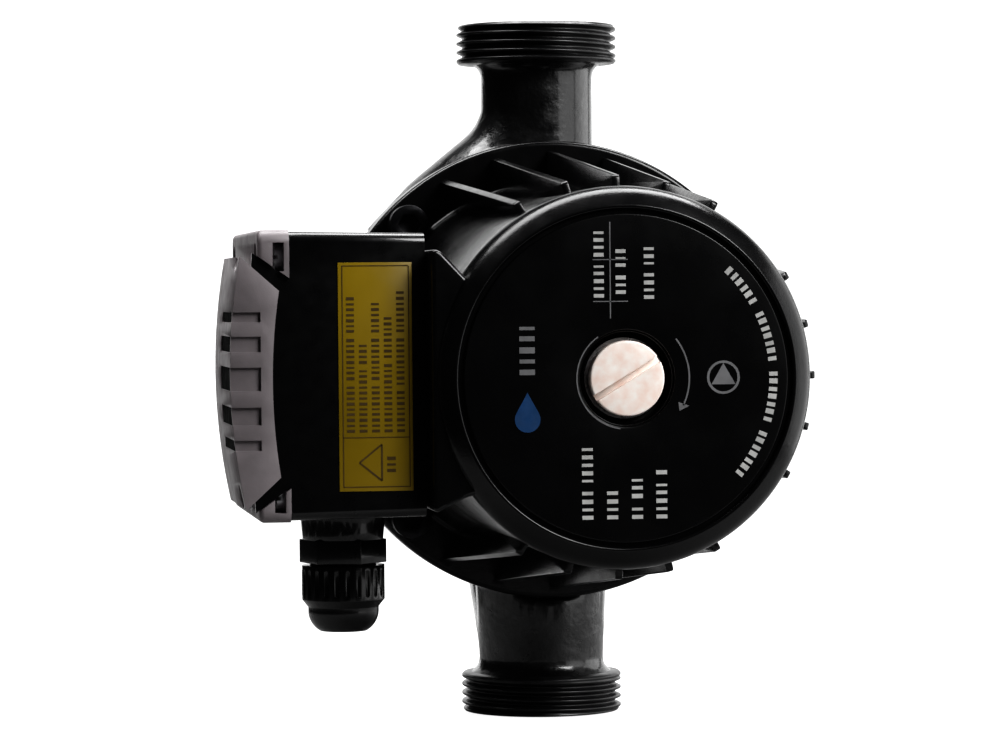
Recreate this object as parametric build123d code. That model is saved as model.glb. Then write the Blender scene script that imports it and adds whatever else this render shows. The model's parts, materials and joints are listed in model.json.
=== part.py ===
"""Wet-rotor circulator pump for heating systems, in-line ports, modelled piece by piece, in millimetres.

Row frame: the origin is the centre of the inlet port's face. +Z runs along the port axis to the outlet,
-Y is the way the motor points, and the terminal box is on the -X side.
Most pieces turn about the motor axis, so they are drawn in a motor frame and then placed by to_row():
motor x is row X, motor y is the height above the motor axis, and motor z is the distance in front of
the port axis, towards the name plate.
"""

from build123d import *
import math
import os

# ---------------------------------------------------------------- driving dimensions
PORT_TO_PORT = 180.0
AXIS_HEIGHT = PORT_TO_PORT / 2
THREAD_R = 20.955  # G 1 1/4 pipe thread, major radius
COLLAR_LENGTH = 10.0
INLET_BORE_R = 12.5
OUTLET_BORE_R = 10.5
INLET_NECK_R = 16.3
OUTLET_NECK_R = 14.6
CASTING_WALL = 4.0

FLANGE_R = 59.0
JOINT_Z = 14.5  # the face where motor and pump housing meet
FLANGE_FRONT_Z = 22.5
SCREW_CIRCLE_R = 53.0
SCREW_ANGLES = (45, 135, 225, 315)

FRONT_Z = 130.0
RIM_R = 44.5
RIM_TOP_R = 39.6
RECESS_R = 38.7
PLATE_SEAT_Z = 128.5
STATOR_R = 41.0
FIN_ANGLES = (0, 15, 30, 60, 75, 90, 105, 120, 240, 255, 270, 285, 300, 330, 345)
FIN_THICKNESS = 1.8
FIN_REAR_R = 56.5
FIN_FRONT_R = 47.2
FIN_FRONT_Z = 117.2

SHAFT_R = 5.0
RUNNING_GAP = 0.04
SHAFT_REAR_Z = -9.5
SHAFT_FRONT_Z = 117.0
ROTOR_R = 25.0
ROTOR_REAR_Z = 33.0
ROTOR_FRONT_Z = 93.0
CAN_R = 25.9
CAN_SHEET = 0.5
IMPELLER_R = 42.0
IMPELLER_VANES = 7
STATOR_SLOTS = 24
STATOR_REAR_Z = 38.0
STATOR_FRONT_Z = 92.0
NECK_R = 9.4  # threaded neck of the rotor can, which the vent plug screws into
NECK_FRONT_Z = 126.0
VENT_BORE_R = 6.05
BEARING_R = 9.0

PAD_X = -44.6  # flat side of the motor that carries the terminal box
PAD_GASKET = 0.6
BOX_X = PAD_X - PAD_GASKET
LID_X = -76.7  # joint between terminal box and lid
BOX_REAR_Z = 46.0
BOX_FRONT_Z = 118.5
BOX_MID_Y = 1.1
BOX_HALF_AT_MOTOR = 32.8
BOX_HALF_AT_LID = 33.3
BOX_WALL = 2.4
LID_OUTER_X = -84.0
LID_FRONT_Z = 119.6
LID_REAR_Z = 44.9
LID_WALL = 2.0
HOOD_FRONT_Z = 121.6
TONGUE = 1.0  # thickness of the box front where it reaches under the hood
HOOD_REAR_Z = 74.0
HOOD_OUTER_X = -92.0
LID_SCREW_Y = (28.6, -27.0)
PILLAR_R = 3.5
LID_SCREW_Z = (52.0, 113.6)
EAR = 1.2  # lid thickness under a screw head

GLAND_X = -61.0
GLAND_Z = 82.0
GLAND_BORE_R = 4.25
LOCKNUT_SEAT_Y = -29.0
GLAND_TOP_Y = -38.8
GLAND_HEX_END_Y = -44.4
GLAND_NUT_END_Y = -60.8
GLAND_NUT_R = 9.95
GLAND_THREAD_R = 7.95


# ---------------------------------------------------------------- small helpers
def tube(outer, inner, z0, z1):
    """Ring about the motor axis; inner 0 gives a solid disc."""
    made = Pos(0, 0, (z0 + z1) / 2) * Cylinder(outer, z1 - z0)
    if inner:
        made -= Pos(0, 0, (z0 + z1) / 2) * Cylinder(inner, z1 - z0 + 2)
    return made


def block(x0, x1, y0, y1, z0, z1):
    middle = Pos((x0 + x1) / 2, (y0 + y1) / 2, (z0 + z1) / 2)
    return middle * Box(abs(x1 - x0), abs(y1 - y0), abs(z1 - z0))


def polar(radius, degrees):
    return radius * math.cos(math.radians(degrees)), radius * math.sin(math.radians(degrees))


def turned(edges):
    """Solid of revolution about y from a closed outline of radius and height."""
    return revolve(make_face(edges), axis=Axis.Y)


def turned_on_motor(edges):
    """Solid of revolution about the motor axis from a closed outline of radius and z."""
    return Rot(90, 0, 0) * turned(edges)


def post_y(x, z, radius, y0, y1):
    """Cylinder parallel to the motor frame's y."""
    return Pos(x, (y0 + y1) / 2, z) * Rot(90, 0, 0) * Cylinder(radius, abs(y1 - y0))


def post_x(y, z, radius, x0, x1):
    """Cylinder parallel to the motor frame's x."""
    return Pos((x0 + x1) / 2, y, z) * Rot(0, 90, 0) * Cylinder(radius, abs(x1 - x0))


def pipe_along(points, radii, radius):
    """Round bar swept along straight runs joined by tangent arcs."""
    path = FilletPolyline(*points, radius=radii)
    return sweep(Plane(path @ 0, z_dir=path % 0) * Circle(radius), path=path)


def to_row(shape):
    return Pos(0, 0, AXIS_HEIGHT) * Rot(90, 0, 0) * shape


# ---------------------------------------------------------------- pump housing
SCROLL_START = 75.0
SCROLL_SWEEP = 290.0
SCROLL_SECTIONS = 11
DISCHARGE = [(-35.0, 27.0, 0), (-24.0, 38.5, 0), (0, 58.0, 0), (0, 84.0, 0)]
DISCHARGE_BENDS = [26.0, 28.0]
SUCTION = [(0, -88.0, 0), (0, -74.0, 0), (0, -50.0, -29.0), (0, 0, -29.0), (0, 0, -10.0)]
SUCTION_BENDS = [20.0, 20.0, 15.0]
SUCTION_R = 12.0
HOUSING_FACE_R = 58.0
HUB_R = 24.6
BACK_PLATE_Z = -14.3
CHAMBER_R = 45.0
CHAMBER_REAR_Z = -11.0
SEAL_SEAT_Z = 10.6
SEAL_RECESS_R = 49.0
WEAR_RING_R = 20.0
WEAR_RING_BORE_R = 16.5
WEAR_RING_REAR_Z = -15.0
EYE_BORE_R = 14.0


def scroll(wall):
    """Spiral of growing round section; wall thickens it outwards from the water passage."""
    sections = []
    for i in range(SCROLL_SECTIONS):
        share = i / (SCROLL_SECTIONS - 1)
        angle = SCROLL_START - share * SCROLL_SWEEP
        x, y = polar(42.0 + 3.0 * share, angle)
        along = (math.sin(math.radians(angle)), -math.cos(math.radians(angle)), 0)
        sections.append(Plane((x, y, 0), z_dir=along) * Circle(3.5 + 5.5 * share + wall))
    return loft(sections)


def port_stub(end_y, neck_r, base_r, base_y):
    """Threaded collar with its neck, turned about the port axis. The thread is drawn as its major cylinder."""
    way = math.copysign(1, end_y)
    edge = 0.75
    foot = 3.4
    collar_y = end_y - way * COLLAR_LENGTH
    foot_y = collar_y - way * foot
    bulge = foot * (1 - math.sqrt(0.5))
    profile = [
        Polyline(
            (0, end_y),
            (THREAD_R - edge, end_y),
            (THREAD_R, end_y - way * edge),
            (THREAD_R, collar_y + way * edge),
            (THREAD_R - edge, collar_y),
            (neck_r + foot, collar_y),
        ),
        ThreePointArc(
            (neck_r + foot, collar_y),
            (neck_r + bulge, collar_y - way * bulge),
            (neck_r, foot_y),
        ),
        Polyline((neck_r, foot_y), (base_r, base_y), (0, base_y), (0, end_y)),
    ]
    return turned(profile)


def pump_housing():
    outer = pipe_along(SUCTION, SUCTION_BENDS, SUCTION_R + CASTING_WALL) + tube(HUB_R, 0, -32.0, -10.0)
    outer += tube(50.0, 0, BACK_PLATE_Z, 5.0)
    outer += tube(HOUSING_FACE_R, 0, 4.0, JOINT_Z)
    outer += scroll(CASTING_WALL)
    outer += port_stub(AXIS_HEIGHT, OUTLET_NECK_R, OUTLET_NECK_R, 40.0)
    outer += port_stub(-AXIS_HEIGHT, INLET_NECK_R, 17.8, -45.0)
    outer += pipe_along(DISCHARGE, DISCHARGE_BENDS, 14.2)
    for angle in SCREW_ANGLES:
        x, y = polar(SCREW_CIRCLE_R - 2.0, angle)
        outer += Pos(x, y, 0) * tube(6.3, 0, -4.0, JOINT_Z)

    water = tube(CHAMBER_R, 0, CHAMBER_REAR_Z, SEAL_SEAT_Z + 1)
    water += tube(SEAL_RECESS_R, 0, SEAL_SEAT_Z, JOINT_Z + 1)
    water += scroll(0)
    water += pipe_along(DISCHARGE, DISCHARGE_BENDS, 10.0)
    water += pipe_along(SUCTION, SUCTION_BENDS, SUCTION_R)
    water += tube(EYE_BORE_R, 0, -19.0, CHAMBER_REAR_Z + 1)
    water += tube(WEAR_RING_R, 0, WEAR_RING_REAR_Z, CHAMBER_REAR_Z + 1)
    water += post_y(0, 0, INLET_BORE_R, -AXIS_HEIGHT - 1, -82.0)
    water += post_y(0, 0, OUTLET_BORE_R, 68.0, AXIS_HEIGHT + 1)
    housing = outer - water
    housing -= tube(FLANGE_R + 0.6, 0, JOINT_Z, JOINT_Z + 10)
    for angle in SCREW_ANGLES:
        x, y = polar(SCREW_CIRCLE_R, angle)
        housing -= Pos(x, y, 0) * tube(3.05, 0, -1.0, JOINT_Z + 1)
    return housing


def wear_ring():
    return tube(WEAR_RING_R, WEAR_RING_BORE_R, WEAR_RING_REAR_Z, CHAMBER_REAR_Z)


def housing_seal():
    return tube(48.8, 45.6, SEAL_SEAT_Z, 12.0)


# ---------------------------------------------------------------- rotor assembly
def vane(turn):
    """Backward-curved vane between the two shrouds."""
    inner_r, outer_r, lag, half = 13.0, IMPELLER_R, 62.0, 1.0
    stations = [(inner_r, 0.0), ((inner_r + outer_r) / 2, 0.42 * lag), (outer_r, lag)]
    sides = []
    for side in (1, -1):
        edge = []
        for radius, angle in stations:
            edge.append(polar(radius, turn + angle + side * math.degrees(half / radius)))
        sides.append(edge)
    front, back = sides
    outline = [
        ThreePointArc(*front),
        Line(front[2], back[2]),
        ThreePointArc(back[2], back[1], back[0]),
        Line(back[0], front[0]),
    ]
    return Pos(0, 0, -3.2) * extrude(make_face(outline), 7.4)


def impeller():
    made = tube(IMPELLER_R, SHAFT_R, 4.0, 6.5)
    made += tube(IMPELLER_R, 13.4, -5.0, -3.0)
    made += tube(WEAR_RING_BORE_R - 0.3, 13.4, -14.6, -3.0)
    made += tube(9.0, SHAFT_R, -6.0, 8.0)
    for i in range(IMPELLER_VANES):
        made += vane(360 / IMPELLER_VANES * i)
    return made


def impeller_lock_ring():
    """Split cone that grips the shaft and holds the impeller."""
    cone = turned_on_motor(
        Polyline((SHAFT_R, -6.0), (7.6, -6.0), (6.2, -9.2), (SHAFT_R, -9.2), (SHAFT_R, -6.0))
    )
    return cone - block(SHAFT_R - 1, 9.0, -0.5, 0.5, -10.0, -5.0)


def shaft():
    bar = tube(SHAFT_R, 0, SHAFT_REAR_Z, SHAFT_FRONT_Z)
    return bar - block(-6, 6, -0.75, 0.75, SHAFT_FRONT_Z - 2.0, SHAFT_FRONT_Z + 1)


def rotor_core():
    return tube(ROTOR_R - 0.4, SHAFT_R, ROTOR_REAR_Z + 0.8, ROTOR_FRONT_Z - 0.8)


def rotor_jacket():
    """Thin stainless skin that keeps the water off the laminations."""
    return tube(ROTOR_R, SHAFT_R, ROTOR_REAR_Z, ROTOR_FRONT_Z) - rotor_core()


def thrust_ring():
    return tube(10.5, SHAFT_R, 24.2, 28.0)


def thrust_ring_seat():
    return tube(11.5, SHAFT_R, 28.0, ROTOR_REAR_Z)


# ---------------------------------------------------------------- bearings and can
def pump_end_bearing():
    return tube(BEARING_R, SHAFT_R + RUNNING_GAP, 10.0, 24.0)


def cap_end_bearing():
    return tube(BEARING_R, SHAFT_R + RUNNING_GAP, 101.0, 111.0)


def bearing_plate():
    plate = tube(48.8, BEARING_R, 12.0, 13.2) + tube(11.0, BEARING_R, 9.0, 23.5)
    for angle in SCREW_ANGLES:
        x, y = polar(19.0, angle)
        plate -= Pos(x, y, 0) * tube(2.0, 0, 11.0, 14.0)
    return plate


def can_flange_seal():
    return tube(48.8, 45.6, 13.2, 13.8)


def rotor_can():
    """Stainless can with its flange, end plate, bearing socket and threaded neck."""
    can = tube(CAN_R, CAN_R - CAN_SHEET, 13.8, 112.0) + tube(48.8, CAN_R - CAN_SHEET, 13.8, JOINT_Z)
    can += tube(CAN_R, VENT_BORE_R, 111.0, 113.0)
    can += tube(10.2, BEARING_R, 101.0, 111.5)
    can += tube(NECK_R, VENT_BORE_R, 112.0, NECK_FRONT_Z)
    return can


def can_neck_seal():
    return Pos(0, 0, 122.2) * Torus(NECK_R + 1.0, 1.0)


# ---------------------------------------------------------------- stator
def stator_core():
    sheet = Circle(STATOR_R) - Circle(CAN_R + 0.2)
    for i in range(STATOR_SLOTS):
        turn = Rot(0, 0, 360 / STATOR_SLOTS * i)
        sheet -= turn * Pos(32.0, 0) * Rectangle(8.0, 4.0)
        sheet -= turn * Pos(27.0, 0) * Rectangle(4.0, 1.6)
    return Pos(0, 0, STATOR_REAR_Z) * extrude(sheet, STATOR_FRONT_Z - STATOR_REAR_Z)


def end_turns(z0, z1):
    """Rounded bundle of coil ends."""
    inner, outer, corner = 28.2, 38.4, 3.0
    outline = Pos((inner + outer) / 2, (z0 + z1) / 2) * RectangleRounded(outer - inner, z1 - z0, corner)
    return Rot(90, 0, 0) * revolve(outline, axis=Axis.Y)


def stator_windings():
    made = end_turns(23.5, 37.4) + end_turns(92.6, 106.5)
    for i in range(STATOR_SLOTS):
        bar = block(28.6, 35.4, -1.7, 1.7, 35.0, 95.0)
        made += Rot(0, 0, 360 / STATOR_SLOTS * i) * bar
    return made


# ---------------------------------------------------------------- stator housing
BRIDGE = [
    (PAD_X, 30.6),
    (-42.4, 29.2),
    (-36.6, 23.4),
    (-28.0, 20.0),
    (-28.0, -24.0),
    (-37.6, -27.4),
    (-41.6, -29.0),
    (PAD_X, -31.0),
]
LEAD_HOLE_Z = 78.0
LEAD_HOLE_R = 5.0
BOX_SCREWS = ((25.0, 74.0), (-25.0, 74.0))
EARTH_SCREW = (13.5, 80.0)


def cooling_fin(angle):
    outline = Polyline(
        (42.5, FLANGE_FRONT_Z - 1),
        (FIN_REAR_R, FLANGE_FRONT_Z - 1),
        (FIN_FRONT_R, FIN_FRONT_Z),
        (42.5, FIN_FRONT_Z),
        (42.5, FLANGE_FRONT_Z - 1),
    )
    plate = extrude(Plane.XZ * make_face(outline), FIN_THICKNESS / 2, both=True)
    return Rot(0, 0, angle) * plate


def stator_housing():
    """Die-cast motor housing: flange, core, cooling fins, rim, front wall and terminal box pad in one piece."""
    body = turned_on_motor(
        [
            Polyline(
                (0, JOINT_Z),
                (47.8, JOINT_Z),
                (47.4, FLANGE_FRONT_Z),
                (45.4, 46.0),
                (RIM_R, 70.0),
                (RIM_R, 121.0),
            ),
            ThreePointArc((RIM_R, 121.0), (42.9, 126.4), (RIM_TOP_R, FRONT_Z)),
            Polyline(
                (RIM_TOP_R, FRONT_Z),
                (RECESS_R, FRONT_Z),
                (RECESS_R, PLATE_SEAT_Z),
                (0, PLATE_SEAT_Z),
                (0, JOINT_Z),
            ),
        ]
    )
    flange = tube(FLANGE_R, 0, JOINT_Z, FLANGE_FRONT_Z)
    flange = fillet(flange.edges().filter_by(GeomType.CIRCLE), 0.9)
    body += flange
    for angle in FIN_ANGLES:
        body += cooling_fin(angle)
    bridge = extrude(make_face(Polyline(*BRIDGE, BRIDGE[0])), 126.2 - 47.0)
    body += Pos(0, 0, 47.0) * bridge
    body -= tube(RECESS_R, 0, PLATE_SEAT_Z, FRONT_Z + 1)
    body -= block(PAD_X - 5, PAD_X, -32, 32, 44.0, FRONT_Z)

    body -= tube(STATOR_R, 0, JOINT_Z - 1, 108.0)
    body -= tube(36.0, 0, 107.0, 118.0)
    body -= tube(NECK_R + 0.1, 0, 117.0, FRONT_Z)
    body -= tube(NECK_R + 2.0, 0, 121.0, 123.4)
    body -= tube(10.6, 0, NECK_FRONT_Z, FRONT_Z)
    for angle in SCREW_ANGLES:
        x, y = polar(SCREW_CIRCLE_R, angle)
        body -= Pos(x, y, 0) * tube(3.3, 0, JOINT_Z - 1, FLANGE_FRONT_Z + 1)
    body -= post_x(0, LEAD_HOLE_Z, LEAD_HOLE_R, PAD_X - 1, -36.0)
    for y, z in BOX_SCREWS:
        body -= post_x(y, z, 1.65, PAD_X - 1, PAD_X + 7.0)
    y, z = EARTH_SCREW
    body -= post_x(y, z, 1.65, PAD_X - 1, PAD_X + 5.0)
    return body


def motor_screws():
    made = []
    for angle in SCREW_ANGLES:
        x, y = polar(SCREW_CIRCLE_R, angle)
        screw = tube(3.0, 0, 0.0, FLANGE_FRONT_Z + 1) + tube(5.0, 0, FLANGE_FRONT_Z, FLANGE_FRONT_Z + 6.0)
        socket = extrude(RegularPolygon(2.9, 6), 4.0)
        screw -= Pos(0, 0, FLANGE_FRONT_Z + 3.0) * socket
        made.append(Pos(x, y, 0) * screw)
    return made


def nameplate():
    return tube(37.9, 11.2, PLATE_SEAT_Z, PLATE_SEAT_Z + 1.0)


# ---------------------------------------------------------------- vent plug
VENT_SLOT_ANGLE = 31.0


def vent_plug():
    head = tube(8.7, 0, 127.2, 130.4)
    head = chamfer(head.edges().filter_by(GeomType.CIRCLE).sort_by(Axis.Z)[-1], 0.4)
    plug = head + tube(VENT_BORE_R - 0.07, 0, 118.5, 127.5)
    return plug - Rot(0, 0, VENT_SLOT_ANGLE) * block(-10, 10, -0.95, 0.95, 128.4, 131.0)


def vent_plug_seal():
    return Pos(0, 0, 126.6) * Torus(7.3, 0.6)


# ---------------------------------------------------------------- terminal box
def box_shell(inset, x_motor, x_lid, corner):
    """Tapered box: lower at the motor than at the lid, with rounded edges."""
    span = LID_X - BOX_X
    sections = []
    for x in (x_motor, x_lid):
        share = (x - BOX_X) / span
        half = BOX_HALF_AT_MOTOR + (BOX_HALF_AT_LID - BOX_HALF_AT_MOTOR) * share - inset
        depth = BOX_FRONT_Z - BOX_REAR_Z - 2 * inset
        middle = (x, BOX_MID_Y, (BOX_FRONT_Z + BOX_REAR_Z) / 2)
        plane = Plane(middle, x_dir=(0, 1, 0), z_dir=(-1, 0, 0))
        sections.append(plane * RectangleRounded(2 * half, depth, corner))
    return loft(sections)


def tongue_outline(grow):
    """Outline of the front tongue that reaches under the lid's hood, in x and y."""
    return Polyline(
        (LID_X + 1.0, 22.6 + grow),
        (-85.2 - grow, 29.6 + grow),
        (-86.6 - grow, 1.0),
        (-84.8 - grow, -30.2 - grow),
        (LID_X + 1.0, -23.6 - grow),
        (LID_X + 1.0, 22.6 + grow),
    )


def terminal_box():
    box = box_shell(0, BOX_X, LID_X, 2.4) - box_shell(BOX_WALL, BOX_X - BOX_WALL, LID_X - 1, 1.2)
    tongue = extrude(make_face(tongue_outline(0)), TONGUE)
    box += Pos(0, 0, BOX_FRONT_Z - TONGUE) * tongue
    for y in LID_SCREW_Y:
        for z in LID_SCREW_Z:
            box += post_x(y, z, PILLAR_R, LID_X, -60.0)
    box += post_y(GLAND_X, GLAND_Z, 11.5, LOCKNUT_SEAT_Y, -33.0)
    boss_y = -31.0
    boss = Pos(GLAND_X, (boss_y + GLAND_TOP_Y) / 2, GLAND_Z) * Rot(90, 0, 0)
    box += boss * Cone(10.4, 9.7, boss_y - GLAND_TOP_Y)

    box -= post_y(GLAND_X, GLAND_Z, GLAND_THREAD_R + 0.05, -28.0, GLAND_TOP_Y - 1)
    box -= post_x(0, LEAD_HOLE_Z, LEAD_HOLE_R, BOX_X + 1, BOX_X - 4)
    for y, z in BOX_SCREWS:
        box -= post_x(y, z, 1.8, BOX_X + 1, BOX_X - 4)
    y, z = EARTH_SCREW
    box -= post_x(y, z, 1.8, BOX_X + 1, BOX_X - 4)
    for y in LID_SCREW_Y:
        for z in LID_SCREW_Z:
            box -= post_x(y, z, 1.3, LID_X - 1, -65.0)
    return box


def pad_gasket():
    sheet = block(BOX_X, PAD_X, -27.0, 27.0, 52.0, 114.0)
    sheet -= post_x(0, LEAD_HOLE_Z, LEAD_HOLE_R + 0.5, BOX_X - 1, PAD_X + 1)
    for y, z in (*BOX_SCREWS, EARTH_SCREW):
        sheet -= post_x(y, z, 2.2, BOX_X - 1, PAD_X + 1)
    return sheet


def floor_screw(y, z):
    """Pan-head screw through the box floor into the motor."""
    head_x = BOX_X - BOX_WALL
    screw = post_x(y, z, 3.4, head_x - 2.2, head_x) + post_x(y, z, 1.6, head_x - 1, PAD_X + 4.5)
    return screw - block(head_x - 3, head_x - 1.2, y - 0.5, y + 0.5, z - 5, z + 5)


def box_screws():
    return [floor_screw(y, z) for y, z in BOX_SCREWS]


def earth_screw():
    return floor_screw(*EARTH_SCREW)


def warning_label():
    return block(-65.5, -48.3, -25.6, 27.2, BOX_FRONT_Z, BOX_FRONT_Z + 0.2)


# ---------------------------------------------------------------- lid
HOOD_SLOTS = ((14.8, 2.3), (8.6, 3.6), (0.6, 5.4), (-7.9, 4.1), (-14.6, 2.4))  # middle y and height
HOOD_WINDOW_Z = 92.0  # the slots' side windows start here


def hood_outline():
    return [
        ThreePointArc((-88.2, 28.7), (-90.6, 1.0), (-87.2, -29.4)),
        Polyline((-87.2, -29.4), (-79.2, -22.0)),
        ThreePointArc((-79.2, -22.0), (-80.9, 1.0), (-79.3, 20.8)),
        Polyline((-79.3, 20.8), (-88.2, 28.7)),
    ]


def terminal_lid():
    span_y = 2 * BOX_HALF_AT_LID + 0.8
    span_z = LID_FRONT_Z - LID_REAR_Z
    middle = Plane((LID_X, BOX_MID_Y, (LID_FRONT_Z + LID_REAR_Z) / 2), x_dir=(0, 1, 0), z_dir=(-1, 0, 0))
    lid = extrude(middle * RectangleRounded(span_y, span_z, 3.0), LID_X - LID_OUTER_X)
    outer_edges = lid.edges().filter_by_position(Axis.X, LID_OUTER_X - 0.01, LID_OUTER_X + 0.01)
    lid = fillet(outer_edges, 1.2)
    hood = extrude(make_face(hood_outline()), HOOD_FRONT_Z - HOOD_REAR_Z)
    lid += Pos(0, 0, HOOD_REAR_Z) * hood
    half = BOX_HALF_AT_LID - 2.9
    rear_z, front_z = LID_REAR_Z + 3.4, BOX_FRONT_Z - 2.8
    lid -= block(LID_OUTER_X + LID_WALL, LID_X + 1, BOX_MID_Y - half, BOX_MID_Y + half, rear_z, front_z)
    slot_z = BOX_FRONT_Z - TONGUE - 0.35
    slot = extrude(make_face(tongue_outline(0.35)), HOOD_FRONT_Z - 1.4 - slot_z)
    lid -= Pos(0, 0, slot_z) * slot
    for y, height in HOOD_SLOTS:
        lid -= block(-95.0, -83.6, y - height / 2, y + height / 2, HOOD_FRONT_Z - 0.8, HOOD_FRONT_Z + 1)
        lid -= block(-95.0, -87.9, y - height / 2, y + height / 2, HOOD_WINDOW_Z, HOOD_FRONT_Z - 2.2)
    for y in LID_SCREW_Y:
        for z in LID_SCREW_Z:
            lid += post_x(y, z, 3.55, LID_OUTER_X + 1, LID_X)
            lid -= post_x(y, z, 3.3, LID_X - EAR, HOOD_OUTER_X)
            away = LID_FRONT_Z + 3 if z > GLAND_Z else LID_REAR_Z - 1
            lid -= block(LID_X - EAR - 2.6, LID_X - EAR, y - 3.3, y + 3.3, min(z, away), max(z, away))
            lid -= post_x(y, z, 1.6, LID_X - 2, LID_X + 1)
    lid -= seal_loop()
    return lid


def seal_loop():
    """Rectangular loop of the lid's seal, seated in the lid."""
    loop = []
    for half, rear_z, front_z in ((32.4, 1.7, 1.6), (31.6, 2.5, 2.4)):
        y0, y1 = BOX_MID_Y - half, BOX_MID_Y + half
        loop.append(block(LID_X - 1.1, LID_X, y0, y1, LID_REAR_Z + rear_z, BOX_FRONT_Z - front_z))
    return loop[0] - loop[1]


def lid_screws():
    made = []
    for y in LID_SCREW_Y:
        for z in LID_SCREW_Z:
            screw = post_x(y, z, 3.1, LID_X - EAR - 1.9, LID_X - EAR)
            screw += post_x(y, z, 1.25, LID_X - EAR - 1, -66.0)
            screw -= block(LID_X - 4, LID_X - EAR - 1.1, y - 0.45, y + 0.45, z - 4, z + 4)
            made.append(screw)
    return made


# ---------------------------------------------------------------- inside the terminal box
POLE_PITCH = 9.5
POLE_Y = [POLE_PITCH * (i - 1.5) for i in range(4)]
BLOCK_X = (-62.0, -48.6)
BLOCK_Z = (53.0, 67.0)


def terminal_block():
    made = block(*BLOCK_X, -20.5, 20.5, *BLOCK_Z)
    for y in POLE_Y:
        made -= block(BLOCK_X[0] + 4.0, BLOCK_X[0] + 9.0, y - 2.8, y + 2.8, BLOCK_Z[0] - 1, BLOCK_Z[1] + 1)
        for z in (BLOCK_Z[0] + 3.5, BLOCK_Z[1] - 3.5):
            made -= post_x(y, z, 2.2, BLOCK_X[0] - 1, BLOCK_X[0] + 4.5)
    return made


def terminal_clamps():
    """Brass sleeves of the terminal block, one for each pole."""
    made = []
    for y in POLE_Y:
        sleeve = block(BLOCK_X[0] + 4.0, BLOCK_X[0] + 9.0, y - 2.8, y + 2.8, BLOCK_Z[0] + 1, BLOCK_Z[1] - 1)
        sleeve -= Pos(BLOCK_X[0] + 6.8, y, 60.0) * Cylinder(1.5, 30)
        for z in (BLOCK_Z[0] + 3.5, BLOCK_Z[1] - 3.5):
            sleeve -= post_x(y, z, 1.3, BLOCK_X[0] + 3, BLOCK_X[0] + 6.8)
        made.append(sleeve)
    return made


def terminal_clamp_screws():
    made = []
    for y in POLE_Y:
        for z in (BLOCK_Z[0] + 3.5, BLOCK_Z[1] - 3.5):
            screw = post_x(y, z, 1.9, BLOCK_X[0] + 1.2, BLOCK_X[0] + 3.2)
            screw += post_x(y, z, 1.25, BLOCK_X[0] + 3, BLOCK_X[0] + 5.2)
            screw -= block(BLOCK_X[0], BLOCK_X[0] + 2, y - 0.3, y + 0.3, z - 3, z + 3)
            made.append(screw)
    return made


CAPACITOR_X, CAPACITOR_Z, CAPACITOR_R = -60.4, 101.4, 11.0


def capacitor():
    can = post_y(CAPACITOR_X, CAPACITOR_Z, CAPACITOR_R, -20.0, 22.0)
    can = fillet(can.edges().filter_by(GeomType.CIRCLE), 1.5)
    return can + post_y(CAPACITOR_X, CAPACITOR_Z, 6.0, 21.0, 24.0)


def capacitor_clip():
    """Sheet saddle that holds the capacitor on the box floor."""
    foot_x = BOX_X - BOX_WALL
    clip = post_y(CAPACITOR_X, CAPACITOR_Z, CAPACITOR_R + 0.8, -4.0, 4.0)
    clip += block(CAPACITOR_X, foot_x, -4.0, 4.0, CAPACITOR_Z - 5.0, CAPACITOR_Z + 5.0)
    clip -= post_y(CAPACITOR_X, CAPACITOR_Z, CAPACITOR_R, -5.0, 5.0)
    return clip - block(-90, CAPACITOR_X - 7.0, -5.0, 5.0, 85.0, 118.0)


LEAD_R = 0.9
LEAD_SPACING = 2.2


def motor_leads():
    """Three leads from the winding through the lead hole to the terminal block."""
    made = []
    for i, pole_y in enumerate(POLE_Y[:3]):
        start = (i - 1) * LEAD_SPACING
        y = pole_y - 1.0
        route = [
            (-42.0, start, LEAD_HOLE_Z),
            (-55.2, start, LEAD_HOLE_Z),
            (-55.2, y, 73.5),
            (-55.2, y, 66.4),
        ]
        made.append(pipe_along(route, [3.0, 3.0], LEAD_R))
    return made


def capacitor_leads():
    made = []
    for side, y in ((-1, POLE_Y[2] + 1.1), (1, POLE_Y[3])):
        route = [
            (CAPACITOR_X + side * 3.0, 24.0, CAPACITOR_Z),
            (CAPACITOR_X + side * 3.0, 27.2, CAPACITOR_Z),
            (CAPACITOR_X + side * 3.0, 27.2, 86.0 - 2 * side),
            (-55.2, y, 78.0),
            (-55.2, y, 66.4),
        ]
        made.append(pipe_along(route, [1.6, 3.0, 3.0], LEAD_R))
    return made


# ---------------------------------------------------------------- cable gland
def gland_tube(outer, inner, y0, y1):
    made = post_y(GLAND_X, GLAND_Z, outer, y0, y1)
    if inner:
        made -= post_y(GLAND_X, GLAND_Z, inner, y0 + 1, y1 - 1)
    return made


def gland_hexagon(across_flats, y0, y1):
    corner_r = across_flats / math.sqrt(3)
    bar = extrude(RegularPolygon(corner_r, 6, rotation=12), abs(y1 - y0))
    return Pos(GLAND_X, max(y0, y1), GLAND_Z) * Rot(90, 0, 0) * bar


def gland_body():
    body = gland_hexagon(18.2, GLAND_TOP_Y, GLAND_HEX_END_Y)
    body += gland_tube(GLAND_THREAD_R, 0, -24.0, GLAND_TOP_Y - 1)
    body += gland_tube(GLAND_THREAD_R, 0, GLAND_HEX_END_Y + 1, -51.0)
    body -= gland_tube(5.5, 0, -20.0, -52.0)
    return body - gland_tube(6.6, 0, -45.4, -52.0)


def gland_locknut():
    nut = gland_hexagon(19.6, LOCKNUT_SEAT_Y + 3.4, LOCKNUT_SEAT_Y)
    return nut - gland_tube(GLAND_THREAD_R + 0.05, 0, -20.0, -32.0)


def gland_seal():
    return gland_tube(6.5, GLAND_BORE_R, -45.4, -53.4)


def gland_slip_ring():
    return gland_tube(7.6, 5.2, -53.5, -54.4)


GLAND_RIBS = 24


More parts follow.
